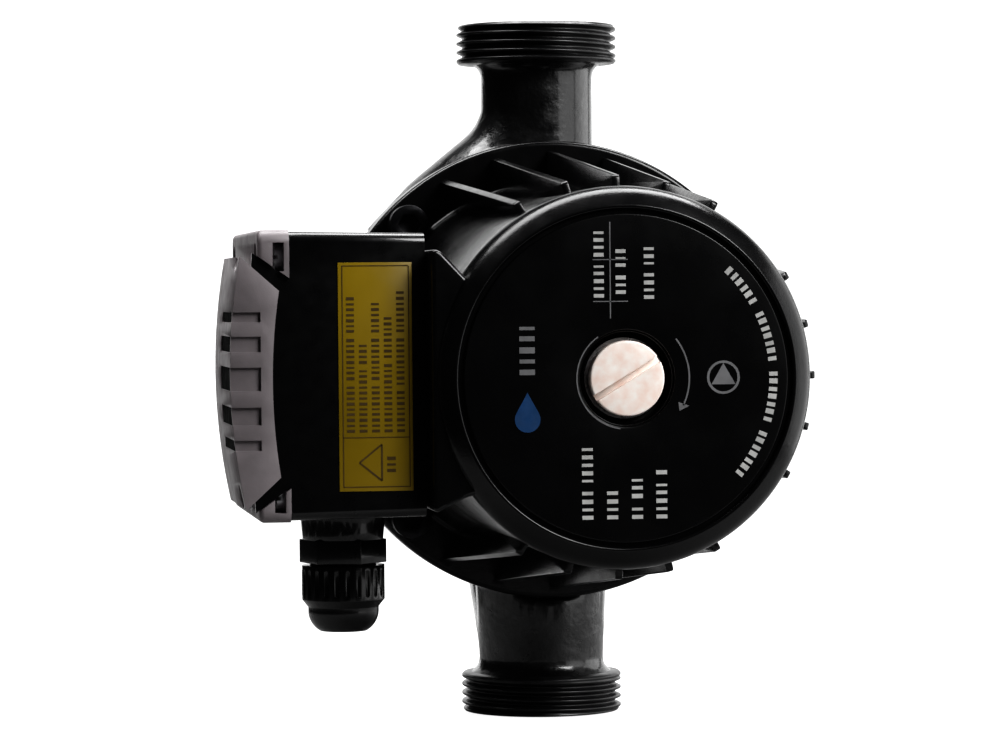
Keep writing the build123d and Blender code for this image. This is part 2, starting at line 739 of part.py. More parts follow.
def gland_nut():
    top, shoulder, neck = -45.0, -53.2, -55.0
    mouth_r = 5.0
    outer = turned(
        [
            Polyline(
                (mouth_r, top),
                (GLAND_NUT_R, top),
                (GLAND_NUT_R, shoulder),
                (8.5, neck),
                (8.5, neck - 1.0),
            ),
            ThreePointArc((8.5, neck - 1.0), (7.4, -59.2), (mouth_r + 0.6, GLAND_NUT_END_Y)),
            Polyline((mouth_r + 0.6, GLAND_NUT_END_Y), (mouth_r, GLAND_NUT_END_Y), (mouth_r, top)),
        ]
    )
    hollow = turned(
        Polyline(
            (0, top + 1),
            (GLAND_THREAD_R + 0.08, top + 1),
            (GLAND_THREAD_R + 0.08, -54.5),
            (mouth_r, -58.0),
            (0, -58.0),
            (0, top + 1),
        )
    )
    nut = outer - hollow
    for i in range(GLAND_RIBS):
        x, z = polar(GLAND_NUT_R + 0.35, 360 / GLAND_RIBS * i)
        nut -= Pos(x, (top + shoulder) / 2, z) * Rot(90, 0, 0) * Cylinder(0.7, 6.0)
    return Pos(GLAND_X, 0, GLAND_Z) * nut


# ---------------------------------------------------------------- write the files
PIECES = {
    "pump_housing": pump_housing,
    "wear_ring": wear_ring,
    "housing_seal": housing_seal,
    "impeller": impeller,
    "impeller_lock_ring": impeller_lock_ring,
    "shaft": shaft,
    "rotor_core": rotor_core,
    "rotor_jacket": rotor_jacket,
    "thrust_ring": thrust_ring,
    "thrust_ring_seat": thrust_ring_seat,
    "pump_end_bearing": pump_end_bearing,
    "cap_end_bearing": cap_end_bearing,
    "bearing_plate": bearing_plate,
    "can_flange_seal": can_flange_seal,
    "rotor_can": rotor_can,
    "can_neck_seal": can_neck_seal,
    "stator_core": stator_core,
    "stator_windings": stator_windings,
    "stator_housing": stator_housing,
    "motor_screws": motor_screws,
    "nameplate": nameplate,
    "vent_plug": vent_plug,
    "vent_plug_seal": vent_plug_seal,
    "terminal_box": terminal_box,
    "pad_gasket": pad_gasket,
    "box_screws": box_screws,
    "earth_screw": earth_screw,
    "warning_label": warning_label,
    "terminal_lid": terminal_lid,
    "terminal_lid_seal": seal_loop,
    "lid_screws": lid_screws,
    "terminal_block": terminal_block,
    "terminal_clamps": terminal_clamps,
    "terminal_clamp_screws": terminal_clamp_screws,
    "capacitor": capacitor,
    "capacitor_clip": capacitor_clip,
    "motor_leads": motor_leads,
    "capacitor_leads": capacitor_leads,
    "gland_body": gland_body,
    "gland_locknut": gland_locknut,
    "gland_seal": gland_seal,
    "gland_slip_ring": gland_slip_ring,
    "gland_nut": gland_nut,
}


def main():
    os.makedirs("parts", exist_ok=True)
    for name, make in PIECES.items():
        made = make()
        solids = made if isinstance(made, list) else [made]
        placed = [to_row(solid) for solid in solids]
        export_step(placed[0] if len(placed) == 1 else Compound(children=placed), f"parts/{name}.step")


if __name__ == "__main__":
    main()
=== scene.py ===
"""Looks of the circulator pump: cast and moulded surfaces, print, camera and lights around the CAD frame.

Shapes are drawn in the motor's own frame, in millimetres: x is row X, y is the height above the motor
axis, and z is the distance in front of the port axis.
row() turns such a point into the row frame in metres.
"""

import json
import math

import bmesh
import bpy
from mathutils import Matrix, Vector


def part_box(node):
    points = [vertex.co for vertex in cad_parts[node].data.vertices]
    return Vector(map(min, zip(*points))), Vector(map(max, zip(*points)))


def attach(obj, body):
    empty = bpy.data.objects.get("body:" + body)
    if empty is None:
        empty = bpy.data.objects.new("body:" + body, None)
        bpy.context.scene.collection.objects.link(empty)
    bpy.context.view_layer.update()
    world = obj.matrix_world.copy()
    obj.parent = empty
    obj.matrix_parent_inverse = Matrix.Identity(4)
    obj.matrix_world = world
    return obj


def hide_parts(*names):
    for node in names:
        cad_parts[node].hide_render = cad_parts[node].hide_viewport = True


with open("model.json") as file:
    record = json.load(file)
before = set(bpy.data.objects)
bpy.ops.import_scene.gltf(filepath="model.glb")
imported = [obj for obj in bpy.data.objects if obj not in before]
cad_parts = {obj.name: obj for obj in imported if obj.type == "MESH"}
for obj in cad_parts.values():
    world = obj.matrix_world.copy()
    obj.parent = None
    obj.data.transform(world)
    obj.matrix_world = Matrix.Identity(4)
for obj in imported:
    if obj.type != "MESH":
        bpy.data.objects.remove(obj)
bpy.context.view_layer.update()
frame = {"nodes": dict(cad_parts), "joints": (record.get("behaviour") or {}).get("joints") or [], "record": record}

MM = 0.001
joints = {joint["name"]: joint for joint in frame["joints"]}
AXIS_HEIGHT = joints["rotor_spin"]["pos_m"][2] / MM
mounts = {mount["name"]: mount for mount in frame["record"]["mounts"]}
THREAD_R = mounts["outlet_port"]["dims"]["r_mm"]
PORT_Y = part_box("pump_housing")[1].z / MM - AXIS_HEIGHT


def front_of(node):
    """How far a node's front is from the port axis, in millimetres."""
    return -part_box(node)[0].y / MM


SHELL_FRONT = front_of("stator_housing")
PLATE_FRONT = front_of("nameplate")
BOX_FRONT = front_of("warning_label")


def row(x, y, z):
    return Vector((x, -z, AXIS_HEIGHT + y)) * MM


def polar(radius, degrees):
    return radius * math.cos(math.radians(degrees)), radius * math.sin(math.radians(degrees))


def circle(radius, points):
    return [polar(radius, 360 * i / points) for i in range(points)]


def moved(outline, x, y):
    return [(a + x, b + y) for a, b in outline]


# ---------------------------------------------------------------- materials
def set_inputs(node, **values):
    for name, value in values.items():
        node.inputs[name.replace("_", " ")].default_value = value


def rgba(colour):
    return (*colour, 1.0)


class Surface:
    """Principled material whose colour, roughness and bump come from noise in object coordinates."""

    def __init__(self, name, metallic=0.0, specular=0.5, coat=0.0, coat_roughness=0.1):
        self.material = bpy.data.materials.new(name)
        self.material.use_nodes = True
        self.nodes = self.material.node_tree.nodes
        self.links = self.material.node_tree.links
        self.shader = self.nodes["Principled BSDF"]
        self.shader.inputs["Metallic"].default_value = metallic
        self.shader.inputs["Specular IOR Level"].default_value = specular
        self.shader.inputs["Coat Weight"].default_value = coat
        self.shader.inputs["Coat Roughness"].default_value = coat_roughness
        self.place = self.nodes.new("ShaderNodeTexCoord").outputs["Object"]
        self.normal = None

    def noise(self, size_mm, detail=3.0, stretch=(1, 1, 1)):
        mapping = self.nodes.new("ShaderNodeMapping")
        mapping.inputs["Scale"].default_value = [factor / (size_mm * MM) for factor in stretch]
        texture = self.nodes.new("ShaderNodeTexNoise")
        set_inputs(texture, Scale=1.0, Detail=detail)
        self.links.new(self.place, mapping.inputs["Vector"])
        self.links.new(mapping.outputs["Vector"], texture.inputs["Vector"])
        return texture.outputs["Fac"]

    def spread(self, value, low, high, low_in=0.3, high_in=0.7):
        ranged = self.nodes.new("ShaderNodeMapRange")
        self.links.new(value, ranged.inputs["Value"])
        set_inputs(ranged, From_Min=low_in, From_Max=high_in, To_Min=low, To_Max=high)
        return ranged.outputs["Result"]

    def colours(self, value, dark, light):
        mix = self.nodes.new("ShaderNodeMix")
        mix.data_type = "RGBA"
        self.links.new(self.spread(value, 0, 1), mix.inputs["Factor"])
        mix.inputs["A"].default_value = rgba(dark)
        mix.inputs["B"].default_value = rgba(light)
        self.links.new(mix.outputs["Result"], self.shader.inputs["Base Color"])
        return self

    def roughness(self, value, low, high):
        self.links.new(self.spread(value, low, high), self.shader.inputs["Roughness"])
        return self

    def bump(self, value, height_mm, strength=1.0):
        node = self.nodes.new("ShaderNodeBump")
        set_inputs(node, Strength=strength, Distance=height_mm * MM)
        self.links.new(value, node.inputs["Height"])
        if self.normal:
            self.links.new(self.normal, node.inputs["Normal"])
        self.normal = node.outputs["Normal"]
        self.links.new(self.normal, self.shader.inputs["Normal"])
        return self


def shade(colour, factor):
    return tuple(min(1.0, part * factor) for part in colour)


def plain_surface(
    name, colour, rough, metallic=0.0, patch_mm=9.0, grain_mm=0.5, height_mm=0.02, **options
):
    """Everyday finish: slow colour drift, roughness patches and a fine grain."""
    made = Surface(name, metallic, **options)
    patches = made.noise(patch_mm)
    made.colours(patches, shade(colour, 0.86), shade(colour, 1.12))
    made.roughness(made.noise(patch_mm / 2.5, 5.0), rough * 0.85, min(1.0, rough * 1.18))
    made.bump(made.noise(grain_mm, 2.0), height_mm)
    return made.material


def casting_paint():
    """Thick black paint over a sand casting: pits, lumps and a wet gloss."""
    made = Surface("casting_paint", specular=0.5, coat=0.6, coat_roughness=0.12)
    made.colours(made.noise(14.0), (0.003, 0.003, 0.0033), (0.007, 0.007, 0.0074))
    made.roughness(made.noise(4.0, 6.0), 0.24, 0.46)
    made.bump(made.noise(6.0, 4.0), 0.5)
    made.bump(made.noise(1.2, 3.0), 0.08)
    return made.material


def collar_paint():
    """The casting's black paint, thinner over the machined thread."""
    made = Surface("collar_paint", specular=0.5, coat=0.2, coat_roughness=0.2)
    made.colours(made.noise(9.0), (0.005, 0.005, 0.0055), (0.011, 0.011, 0.0115))
    made.roughness(made.noise(3.0, 5.0), 0.28, 0.46)
    made.bump(made.noise(0.8, 3.0), 0.03)
    return made.material


def shell_paint():
    """Smooth black paint on the die-cast shell."""
    made = Surface("shell_paint", specular=0.4)
    made.colours(made.noise(18.0), (0.003, 0.003, 0.0033), (0.006, 0.006, 0.0063))
    made.roughness(made.noise(6.0, 5.0), 0.19, 0.27)
    made.bump(made.noise(0.55, 2.0), 0.02)
    made.bump(made.noise(5.0, 3.0), 0.05)
    return made.material


def brushed_disc():
    """Vent plug: pale nickel over brass, lathe-turned, warmer where it is worn."""
    made = Surface("vent_plug_metal", metallic=0.1)
    made.colours(made.noise(2.6, 6.0), (0.93, 0.76, 0.68), (1.0, 0.95, 0.90))
    made.roughness(made.noise(1.1, 4.0), 0.30, 0.48)
    made.bump(made.noise(0.35, 3.0), 0.012)
    return made.material


def make_materials():
    made = {
        "painted_casting": casting_paint(),
        "black_shell": shell_paint(),
        "nickel_brass": brushed_disc(),
        "black_plastic": plain_surface(
            "black_plastic", (0.004, 0.004, 0.0043), 0.30, height_mm=0.010, specular=0.3, coat=0.5
        ),
        "grey_plastic": plain_surface("grey_plastic", (0.215, 0.194, 0.201), 0.46, grain_mm=0.35),
        "dark_plastic": plain_surface("dark_plastic", (0.03, 0.03, 0.033), 0.5),
        "white_plastic": plain_surface("white_plastic", (0.72, 0.71, 0.66), 0.5),
        "yellow_label": plain_surface(
            "yellow_label", (0.25, 0.172, 0.008), 0.34, patch_mm=22, height_mm=0.006
        ),
        "dark_label": plain_surface(
            "dark_label", (0.004, 0.004, 0.0043), 0.27, patch_mm=26, height_mm=0.006, specular=0.35
        ),
        "brass": plain_surface("brass_metal", (0.78, 0.57, 0.26), 0.30, 1.0),
        "stainless": plain_surface("stainless_steel", (0.60, 0.60, 0.61), 0.28, 1.0, grain_mm=0.8),
        "black_steel": plain_surface("black_steel", (0.03, 0.03, 0.032), 0.34, 0.8, patch_mm=3),
        "zinc_steel": plain_surface("zinc_plated_steel", (0.80, 0.81, 0.83), 0.34, 0.6, patch_mm=3),
        "copper": plain_surface(
            "enamelled_copper", (0.56, 0.20, 0.07), 0.32, 0.85, grain_mm=0.9, height_mm=0.12
        ),
        "carbon": plain_surface("carbon", (0.03, 0.03, 0.032), 0.35),
        "ceramic": plain_surface("ceramic", (0.80, 0.77, 0.70), 0.18, height_mm=0.004),
        "rubber": plain_surface("rubber", (0.012, 0.012, 0.012), 0.72, grain_mm=0.4, height_mm=0.03),
        "lead_sheath": plain_surface("lead_sheath", (0.02, 0.035, 0.24), 0.42),
        "impeller_plastic": plain_surface("impeller_plastic", (0.05, 0.045, 0.04), 0.42),
        "lamination": laminations(),
    }
    return made


def laminations():
    """Stacked steel sheets: fine dark lines across the motor axis."""
    made = Surface("laminations", metallic=0.9)
    made.colours(made.noise(5.0), (0.16, 0.15, 0.15), (0.28, 0.27, 0.27))
    made.roughness(made.noise(2.0), 0.38, 0.6)
    lines = made.noise(0.5, 0.0, stretch=(0.02, 1, 0.02))
    made.bump(lines, 0.08)
    return made.material


materials = make_materials()


def print_ink(name, colour):
    return plain_surface(name, colour, 0.5, patch_mm=4.0, grain_mm=0.2, height_mm=0.004)


white_ink = print_ink("white_ink", (0.44, 0.44, 0.43))
blue_ink = print_ink("blue_ink", (0.006, 0.05, 0.14))
brown_ink = print_ink("brown_ink", (0.075, 0.045, 0.008))
grey_ink = print_ink("grey_ink", (0.17, 0.17, 0.175))
# near-black surface that paints the shade inside the hood slots
slot_painted_shade = plain_surface("slot_painted_shade", (0.002, 0.002, 0.002), 0.8, specular=0.05)


# ---------------------------------------------------------------- mesh tools
def make_object(name, mesh_builder):
    mesh = bpy.data.meshes.new(name)
    mesh_builder.to_mesh(mesh)
    mesh_builder.free()
    made = bpy.data.objects.new(name, mesh)
    bpy.context.scene.collection.objects.link(made)
    return made


def rounded(points, steps=6):
    """Closed outline from (x, y, corner radius) points, with each corner drawn as an arc."""
    outline = []
    for i, (x, y, radius) in enumerate(points):
        corner = Vector((x, y))
        if radius == 0:
            outline.append(corner)
            continue
        before = (Vector(points[i - 1][:2]) - corner).normalized()
        after = (Vector(points[(i + 1) % len(points)][:2]) - corner).normalized()
        half = before.angle(after) / 2
        centre = corner + (before + after).normalized() * radius / math.sin(half)
        start = corner + before * radius / math.tan(half) - centre
        sweep = start.angle_signed(corner + after * radius / math.tan(half) - centre)
        for step in range(steps + 1):
            turn = Matrix.Rotation(-sweep * step / steps, 2)
            outline.append(centre + turn @ start)
    return outline


def lathe(name, outline, segments=128, place=row):
    """Closed solid of revolution about the motor axis from a closed outline of (radius, z)."""
    builder = bmesh.new()
    rings = []
    for radius, z in outline:
        if radius < 1e-6:
            rings.append([builder.verts.new(place(0, 0, z))] * segments)
            continue
        ring = []
        for i in range(segments):
            x, y = polar(radius, 360 * i / segments)
            ring.append(builder.verts.new(place(x, y, z)))
        rings.append(ring)
    for a, b in zip(rings, rings[1:] + rings[:1]):
        for i in range(segments):
            corners = list(dict.fromkeys((a[i], a[(i + 1) % segments], b[(i + 1) % segments], b[i])))
            if len(corners) > 2:
                builder.faces.new(corners)
    bmesh.ops.recalc_face_normals(builder, faces=builder.faces)
    return make_object(name, builder)


def prism(name, outline, low, high, place=row):
    """Outline of (x, y) extruded from low to high along z."""
    builder = bmesh.new()
    bottom = [builder.verts.new(place(x, y, low)) for x, y in outline]
    top = [builder.verts.new(place(x, y, high)) for x, y in outline]
    builder.faces.new(bottom)
    builder.faces.new(top)
    for i in range(len(outline)):
        j = (i + 1) % len(outline)
        builder.faces.new((bottom[i], bottom[j], top[j], top[i]))
    bmesh.ops.recalc_face_normals(builder, faces=builder.faces)
    return make_object(name, builder)


def apply_modifiers(piece):
    bpy.context.view_layer.update()
    evaluated = piece.evaluated_get(bpy.context.evaluated_depsgraph_get())
    mesh = bpy.data.meshes.new_from_object(evaluated)
    piece.modifiers.clear()
    piece.data = mesh
    return piece


def bevel(piece, width_mm, segments=3, angle=32):
    modifier = piece.modifiers.new("bevel", "BEVEL")
    modifier.width = width_mm * MM
    modifier.segments = segments
    modifier.limit_method = "ANGLE"
    modifier.angle_limit = math.radians(angle)
    modifier.harden_normals = False
    return apply_modifiers(piece)


def combine(piece, other, operation):
    modifier = piece.modifiers.new("boolean", "BOOLEAN")
    modifier.object = other
    modifier.operation = operation
    modifier.solver = "MANIFOLD"
    apply_modifiers(piece)
    bpy.data.objects.remove(other)
    return piece


def shade_smooth(piece, angle=32):
    piece.data.shade_smooth()
    piece.data.set_sharp_from_angle(angle=math.radians(angle))
    return piece


def join(name, pieces):
    """One object from several closed meshes."""
    builder = bmesh.new()
    for piece in pieces:
        builder.from_mesh(piece.data)
        bpy.data.objects.remove(piece)
    return make_object(name, builder)


def welded_copy(node, name):
    """Copy of a CAD node's mesh as one closed surface."""
    builder = bmesh.new()
    builder.from_mesh(frame["nodes"][node].data)
    bmesh.ops.remove_doubles(builder, verts=builder.verts, dist=0.002 * MM)
    return make_object(name, builder)


def dress(piece, body, slot, material=None, replaces=()):
    piece.data.materials.clear()
    piece.data.materials.append(material or materials[slot])
    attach(piece, body)
    if replaces:
        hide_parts(*replaces)
    return piece


FLAT_WITHIN = 0.6  # degrees between faces that are merged before the edges are rounded


def refined(node, width_mm, body, segments=2, angle=35, cut=None):
    """Carried-over CAD shape, less the cut, with its edges rounded."""
    piece = welded_copy(node, node + "_refined")
    builder = bmesh.new()
    builder.from_mesh(piece.data)
    flat = math.radians(FLAT_WITHIN)
    bmesh.ops.dissolve_limit(builder, angle_limit=flat, verts=builder.verts, edges=builder.edges)
    builder.to_mesh(piece.data)
    builder.free()
    if cut:
        combine(piece, cut, "DIFFERENCE")
    bevel(piece, width_mm, segments, angle)
    shade_smooth(piece, 40)
    slots = {part["node"]: part["material_slot"] for part in frame["record"]["subparts"]}
    return dress(piece, body, slots[node], replaces=[node])


# ---------------------------------------------------------------- pump housing
COLLAR_LENGTH = 10.0
CLIP_DEPTH = 6.0  # the casting stops this far below the port face, inside the collar
CLIP_FAR = 120.0
CLIP_HALF = 30.0
COLLAR_INSET = 2.4  # the casting's own collar is drawn in by this much, to stay inside the threaded one
THREAD_PITCH = 2.309
THREAD_DEPTH = 1.48
VOXEL = 0.75


def rough_casting():
    """The casting with rounded inner corners, without the machined collars."""
    casting = welded_copy("pump_housing", "pump_housing_casting")
    collar_foot = PORT_Y - COLLAR_LENGTH - 0.01
    core_r = THREAD_R - COLLAR_INSET
    for vertex in casting.data.vertices:
        x, y, z = vertex.co.x / MM, vertex.co.y / MM, vertex.co.z / MM - AXIS_HEIGHT
        reach = math.hypot(x, y)
        if abs(z) > collar_foot and reach > core_r:
            vertex.co.x *= core_r / reach
            vertex.co.y *= core_r / reach
    for way in (1, -1):
        near, far = way * (PORT_Y - CLIP_DEPTH), way * CLIP_FAR
        outline = [(-CLIP_HALF, near), (CLIP_HALF, near), (CLIP_HALF, far), (-CLIP_HALF, far)]
        combine(casting, prism("clip", outline, -CLIP_HALF, CLIP_HALF), "DIFFERENCE")
    remesh = casting.modifiers.new("remesh", "REMESH")
    remesh.mode = "VOXEL"
    remesh.voxel_size = VOXEL * MM
    smooth = casting.modifiers.new("smooth", "SMOOTH")
    smooth.factor = 0.5
    smooth.iterations = 7
    thin = casting.modifiers.new("thin", "DECIMATE")
    thin.ratio = 0.32
    apply_modifiers(casting)
    casting.data.shade_smooth()
    return dress(casting, "pump", "painted_casting", replaces=["pump_housing"])


def thread_radius(turns, height):
    """Rounded V thread that fades out at both ends of the collar."""
    wave = abs((turns % 1.0) * 2 - 1)
    shaped = 0.5 - 0.5 * math.cos(math.pi * min(1.0, max(0.0, wave * 1.25 - 0.125)))
    ends = min(1.0, max(0.0, height - 0.2) / 1.1, max(0.0, COLLAR_LENGTH - 0.9 - height) / 0.8)
    chamfer = max(0.0, 0.75 - height) + max(0.0, height - COLLAR_LENGTH + 0.5)
    return THREAD_R - THREAD_DEPTH * shaped * ends - chamfer


def threaded_collar(name, way, bore_r):
    """Port collar with its pipe thread, its flat sealing face and its machined bore."""
    segments, rows = 160, 80
    builder = bmesh.new()
    rings = []

    def ring(radius_at, height):
        made = []
        for i in range(segments):
            angle = 360 * i / segments
            x, z = polar(radius_at(i / segments), angle)
            made.append(builder.verts.new(row(x, way * (PORT_Y - height), z)))
        rings.append(made)

    for step in range(rows + 1):
        height = COLLAR_LENGTH * step / rows
        ring(lambda share: thread_radius(height / THREAD_PITCH + share * way, height), height)
    ring(lambda share: THREAD_R - 4.0, COLLAR_LENGTH + 0.4)
    ring(lambda share: bore_r - 0.1, COLLAR_LENGTH + 0.4)
    ring(lambda share: bore_r - 0.1, 0.5)
    ring(lambda share: bore_r + 0.4, 0.0)
    for a, b in zip(rings, rings[1:] + rings[:1]):
        for i in range(segments):
            j = (i + 1) % segments
            builder.faces.new((a[i], a[j], b[j], b[i]))
    bmesh.ops.recalc_face_normals(builder, faces=builder.faces)
    collar = shade_smooth(make_object(name, builder), 50)
    return dress(collar, "pump", "painted_casting", materials["collar_paint"], ["pump_housing"])


materials["collar_paint"] = collar_paint()
rough_casting()
threaded_collar("outlet_collar", 1, 10.5)
threaded_collar("inlet_collar", -1, 12.5)


# ---------------------------------------------------------------- motor shell
FLANGE_R = 59.0
JOINT_Z, FLANGE_FRONT_Z = 14.5, 22.5
FIN_ANGLES = (0, 15, 30, 60, 75, 90, 105, 120, 240, 255, 270, 285, 300, 330, 345)
FIN_REAR_R, FIN_FRONT_R, FIN_FRONT_Z = 56.5, 47.2, 117.2
FIN_THICKNESS = 1.8
STATOR_R = 41.0
RECESS_R = 38.7
PAD_X = -44.6  # flat side that carries the terminal box
SCREW_CIRCLE_R = 53.0
SCREW_HOLE_R = 3.3
SCREW_ANGLES = (45, 135, 225, 315)


def shell_core():
    """Flange, body, rounded rim and the recess that the name plate sits in."""
    outline = rounded(
        [
            (STATOR_R, JOINT_Z, 0),
            (FLANGE_R, JOINT_Z, 0.8),
            (FLANGE_R, FLANGE_FRONT_Z, 1.4),
            (47.9, FLANGE_FRONT_Z, 1.6),
            (45.4, 46.0, 20.0),
            (44.5, 70.0, 20.0),
            (44.5, 125.8, 6.5),
            (39.4, SHELL_FRONT, 0.6),
            (RECESS_R, PLATE_FRONT - 1.1, 0.0),
            (10.7, PLATE_FRONT - 1.1, 0.3),
            (10.7, 123.0, 0),
            (36.0, 121.5, 2.0),
            (36.0, 108.0, 0.5),
            (STATOR_R, 108.0, 0.5),
        ],
        steps=8,
    )
    return lathe("stator_housing_shell", outline, 192)


def fin_place(angle):
    """Puts a fin drawn in (radius, z) at its angle about the motor axis."""
    c, s = math.cos(math.radians(angle)), math.sin(math.radians(angle))

    def place(radius, z, across):
        return row(radius * c - across * s, radius * s + across * c, z)

    return place


def cooling_fin(angle):
    outline = rounded(
        [
            (43.2, FLANGE_FRONT_Z - 2, 0),
            (FIN_REAR_R, FLANGE_FRONT_Z - 2, 0),
            (FIN_FRONT_R, FIN_FRONT_Z, 1.2),
            (43.2, FIN_FRONT_Z + 0.6, 0),
        ]
    )
    half = FIN_THICKNESS / 2
    return bevel(prism("fin", outline, -half, half, fin_place(angle)), 0.28, 2, 50)


def terminal_bridge():
    """Neck of the casting that carries the terminal box."""
    outline = rounded(
        [
            (PAD_X, 30.6, 1.0),
            (-42.2, 29.4, 1.6),
            (-36.2, 23.0, 5.0),
            (-27.0, 20.0, 0),
            (-27.0, -24.0, 0),
            (-37.4, -27.2, 5.0),
            (-41.4, -29.2, 1.2),
            (PAD_X, -31.0, 1.0),
        ]
    )
    return bevel(prism("bridge", outline, 47.0, 126.2), 1.1, 3, 50)


def motor_shell():
    shell = shell_core()
    for angle in FIN_ANGLES:
        combine(shell, cooling_fin(angle), "UNION")
    bridge = terminal_bridge()
    combine(bridge, prism("hollow", circle(STATOR_R, 72), 40.0, 118.0), "DIFFERENCE")
    combine(bridge, prism("recess", circle(RECESS_R, 72), 117.0, 131.0), "DIFFERENCE")
    combine(shell, bridge, "UNION")
    flat = prism("flat", [(-60, -40), (PAD_X, -40), (PAD_X, 40), (-60, 40)], 44.0, 131.0)
    combine(shell, flat, "DIFFERENCE")
    for angle in SCREW_ANGLES:
        hole = moved(circle(SCREW_HOLE_R, 30), *polar(SCREW_CIRCLE_R, angle))
        combine(shell, prism("screw_hole", hole, JOINT_Z - 2, FLANGE_FRONT_Z + 2), "DIFFERENCE")
    shade_smooth(shell, 30)
    return dress(shell, "pump", "black_shell", replaces=["stator_housing"])


motor_shell()


# ---------------------------------------------------------------- name plate, print and vent plug
PRINT_LIFT = 0.02
PRINT_THICKNESS = 0.05


def name_plate():
    top = PLATE_FRONT
    outline = rounded(
        [(11.2, top - 1.0, 0), (37.9, top - 1.0, 0), (37.9, top, 0.35), (11.2, top, 0.35)],
        steps=4,
    )
    plate = shade_smooth(lathe("nameplate_disc", outline, 160))
    return dress(plate, "pump", "dark_label", replaces=["nameplate"])


def arc_band(radius, width, start, end, steps=24):
    """Flat band along an arc, as an outline."""
    outer = [polar(radius + width / 2, start + (end - start) * i / steps) for i in range(steps + 1)]
    inner = [polar(radius - width / 2, end + (start - end) * i / steps) for i in range(steps + 1)]
    return outer + inner


def strip(x0, y0, x1, y1):
    """Upright rectangle as an outline."""
    return [(x0, y0), (x1, y0), (x1, y1), (x0, y1)]


LETTER_WIDTHS = (1.0, 0.72, 1.1, 0.9, 0.62, 1.05, 0.8)


def text_blocks(x, y, words, size):
    """Small blocks that stand for one line of print, read upwards: size is the letter height."""
    marks = []
    at = y
    letter = 0
    for count in words:
        for _ in range(count):
            width = LETTER_WIDTHS[letter % len(LETTER_WIDTHS)] * 0.36 * size
            marks.append(strip(x - size / 2, at, x + size / 2, at + width))
            at += width + 0.38 * size
            letter += 1
        at += 0.45 * size
    return marks


def printed(name, outlines, front, ink, slot):
    low = front + PRINT_LIFT
    pieces = [prism("mark", outline, low, low + PRINT_THICKNESS) for outline in outlines]
    return dress(join(name, pieces), "pump", slot, ink)


LOWER_LINES = ((-9.4, -32.4, (4, 5)), (-3.6, -32.4, (4,)), (2.2, -32.4, (2, 3)), (7.9, -32.4, (5, 1)))
UPPER_LINES = ((-6.4, 18.6, (5, 4)), (-1.3, 19.4, (3, 3)), (5.3, 18.2, (4, 3)))
MAKER_BLOCKS = 30
MAKER_STEP = 2.95  # degrees
SYMBOL_X = 22.6
DROP_PLACE = (-23.2, -9.2)
DROP_R = 3.0


def plate_print():
    """Marks on the plate: lines are (x, y, letters in each word)."""
    ratings = []
    for size, lines in ((2.6, LOWER_LINES), (2.4, UPPER_LINES)):
        for x, y, words in lines:
            ratings += text_blocks(x, y, words, size)
    printed("ratings_print", ratings, PLATE_FRONT, white_ink, "dark_label")
    rules = [strip(-3.9, 13.8, -3.6, 36.0)]
    rules += [strip(-7.8, y, 0.4, y + 0.25) for y in (17.6, 27.2)]
    printed("rule_print", rules, PLATE_FRONT, grey_ink, "dark_label")
    maker = []
    for i in range(MAKER_BLOCKS):
        start = -41 + MAKER_STEP * i
        if i % 8 != 7:
            maker.append(arc_band(34.4, 2.0, start, start + 1.6 + 0.4 * (i % 2), 3))
    printed("maker_print", maker, PLATE_FRONT, white_ink, "dark_label")
    arrow = [arc_band(14.6, 0.4, -26, 38), [polar(16.0, -24), polar(13.2, -25), polar(14.4, -32)]]
    arrow.append(arc_band(11.7, 0.3, 125, 262))
    printed("rotation_arrow", arrow, PLATE_FRONT, grey_ink, "dark_label")
    drop = [(0, 6.2)] + [polar(DROP_R, 150 + 15 * i) for i in range(17)]
    printed("water_drop_print", [moved(drop, *DROP_PLACE)], PLATE_FRONT, blue_ink, "dark_label")
    ring = moved(arc_band(3.6, 0.6, 0, 359.9), SYMBOL_X, 0)
    triangle = moved([polar(3.3, angle) for angle in (90, 210, 330)], SYMBOL_X, 0)
    printed("pump_symbol_print", [ring, triangle], PLATE_FRONT, grey_ink, "dark_label")
    name = text_blocks(-23.2, 1.0, (5,), 3.6)
    printed("plate_name_print", name, PLATE_FRONT, grey_ink, "dark_label")


def vent_plug():
    front = front_of("vent_plug")
    outline = rounded(
        [
            (0, 118.5, 0),
            (5.98, 118.5, 0.5),
            (5.98, 127.2, 0),
            (8.7, 127.2, 0.2),
            (8.7, front - 0.1, 0.45),
            (4.0, front, 0),
            (0, front, 0),
        ],
        steps=4,
    )
    plug = lathe("vent_plug_turned", outline, 96)
    c, s = polar(1, 31)
    slot = [(12 * c - w * s, 12 * s + w * c) for w in (0.8, -0.8)]
    slot += [(-12 * c - w * s, -12 * s + w * c) for w in (-0.8, 0.8)]
    combine(plug, prism("slot", slot, front - 1.8, front + 1), "DIFFERENCE")
    bevel(plug, 0.12, 2, 50)
    shade_smooth(plug, 35)
    return dress(plug, "vent_plug", "nickel_brass", replaces=["vent_plug"])


name_plate()
plate_print()
vent_plug()


# ---------------------------------------------------------------- terminal box, lid and gland
LABEL_LINES = ((9, 8, 7), (12, 4), (9, 8, 6), (13, 8), (8, 9, 8))  # letters in each word
PANEL_HEIGHT = 11.4
TRIANGLE = ((-60.8, 0), (-55.6, 4.2), (-55.6, -4.2))


def stroke(start, end, width, lift):
    """Straight line of print from start to end, lifted in y."""
    a, b = Vector(start), Vector(end)
    side = (b - a).orthogonal().normalized() * width / 2
    return [(p.x, p.y + lift) for p in (a + side, b + side, b - side, a - side)]


